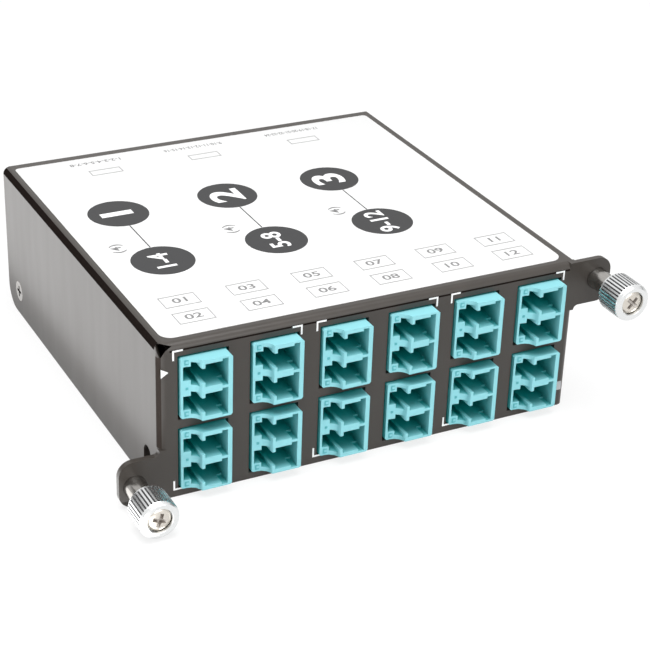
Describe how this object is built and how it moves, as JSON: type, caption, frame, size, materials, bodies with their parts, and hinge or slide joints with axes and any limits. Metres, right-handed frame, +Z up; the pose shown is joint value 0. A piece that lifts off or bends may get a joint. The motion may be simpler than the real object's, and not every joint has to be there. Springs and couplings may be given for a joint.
{
  "type": "fibre breakout cassette",
  "caption": "Flat folded-steel cassette with aqua duplex fibre ports in front, multi-fibre ports behind, and a captive thumbscrew in each ear",
  "frame": {"origin": "middle of the box's flat underside, between the outer faces of the folded box", "axes": "+X along the front panel to the right as seen from the front, +Y from the front panel into the box, +Z up through the labelled top"},
  "size_m": [0.1096, 0.108, 0.0332],
  "materials": {
    "housing": "fine satin grey-brown coat on folded sheet steel",
    "label": "matte white printed film",
    "adapter": "satin aqua moulded plastic",
    "ceramic": "ground white zirconia",
    "plug": "satin moulded plastic",
    "fibre_jacket": "soft aqua jacket",
    "rear_adapter": "satin black moulded plastic",
    "bright_steel": "bright nickel plate, turned and knurled",
    "spring_steel": "drawn spring wire",
    "nickel": "warm satin nickel plate"
  },
  "bodies": {
    "housing": {"cover": "housing", "base_tray": "housing", "adapter_bracket": "housing", "top_label": "label", "adapter_01": "adapter", "adapter_02": "adapter", "adapter_03": "adapter", "adapter_04": "adapter", "adapter_05": "adapter", "adapter_06": "adapter", "adapter_07": "adapter", "adapter_08": "adapter", "adapter_09": "adapter", "adapter_10": "adapter", "adapter_11": "adapter", "adapter_12": "adapter", "sleeve_pair_01": "ceramic", "sleeve_pair_02": "ceramic", "sleeve_pair_03": "ceramic", "sleeve_pair_04": "ceramic", "sleeve_pair_05": "ceramic", "sleeve_pair_06": "ceramic", "sleeve_pair_07": "ceramic", "sleeve_pair_08": "ceramic", "sleeve_pair_09": "ceramic", "sleeve_pair_10": "ceramic", "sleeve_pair_11": "ceramic", "sleeve_pair_12": "ceramic", "harness_plugs_1": "plug", "harness_plugs_2": "plug", "harness_plugs_3": "plug", "fibre_legs_1": "fibre_jacket", "fibre_legs_2": "fibre_jacket", "fibre_legs_3": "fibre_jacket", "rear_adapter_1": "rear_adapter", "rear_adapter_2": "rear_adapter", "rear_adapter_3": "rear_adapter", "rear_plug_1": "plug", "rear_plug_2": "plug", "rear_plug_3": "plug", "left_retainer": "bright_steel", "right_retainer": "bright_steel", "side_screws": "nickel"},
    "left_spring_body": {"left_spring": "spring_steel"},
    "left_thumbscrew": {"left_knob": "bright_steel", "left_screw": "bright_steel"},
    "right_spring_body": {"right_spring": "spring_steel"},
    "right_thumbscrew": {"right_knob": "bright_steel", "right_screw": "bright_steel"}
  },
  "joints": [
    {"name": "left_press", "type": "slide", "parent": "housing", "child": "left_spring_body", "axis": [0, 1, 0], "range_m": [0, 0.0039], "stiffness_N_per_m": 300, "springref_m": -0.003, "deforming": ["left_spring"]},
    {"name": "left_turn", "type": "hinge", "parent": "left_spring_body", "child": "left_thumbscrew", "pos_m": [-0.0508, -0.0456, 0.00445], "axis": [0, 1, 0], "continuous": true},
    {"name": "right_press", "type": "slide", "parent": "housing", "child": "right_spring_body", "axis": [0, 1, 0], "range_m": [0, 0.0039], "stiffness_N_per_m": 300, "springref_m": -0.003, "deforming": ["right_spring"]},
    {"name": "right_turn", "type": "hinge", "parent": "right_spring_body", "child": "right_thumbscrew", "pos_m": [0.0508, -0.0456, 0.02855], "axis": [0, 1, 0], "continuous": true}
  ]
}
